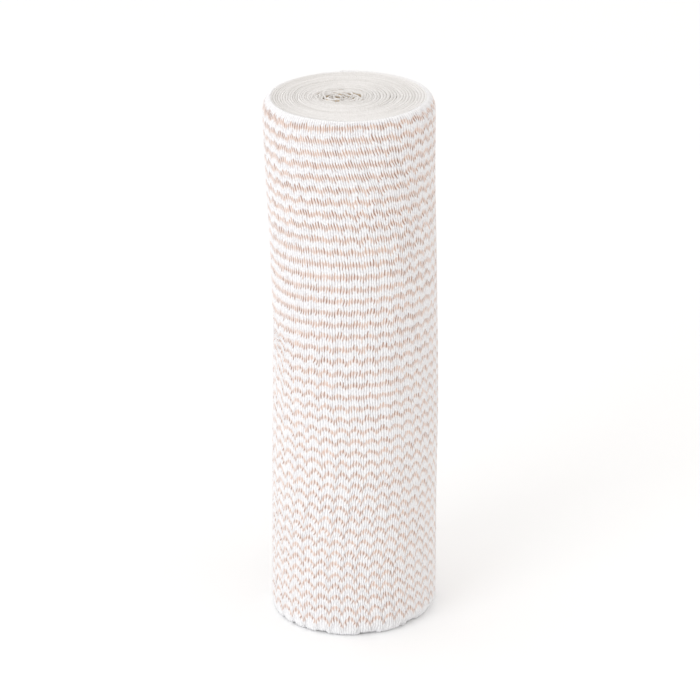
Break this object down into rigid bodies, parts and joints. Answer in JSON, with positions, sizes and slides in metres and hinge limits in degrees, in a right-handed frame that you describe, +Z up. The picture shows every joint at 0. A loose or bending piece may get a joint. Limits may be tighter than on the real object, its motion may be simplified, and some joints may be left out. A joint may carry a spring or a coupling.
{
  "type": "elastic bandage roll",
  "caption": "Tightly wound roll of ribbed elastic crepe bandage with rows of tan stitches, standing upright on one end.",
  "frame": {"origin": "centre of the flat lower end on which the roll stands, at the middle of its outline", "axes": "+Z up along the roll, -Y towards the front as pictured, +X to its right; the outer end of the strip is at the back, towards +Y"},
  "size_m": [0.0476, 0.0474, 0.1524],
  "materials": {
    "crepe_cloth": "matte ribbed crepe weave with tan stitches"
  },
  "bodies": {
    "root": {"bandage_roll": "crepe_cloth"}
  },
  "joints": []
}
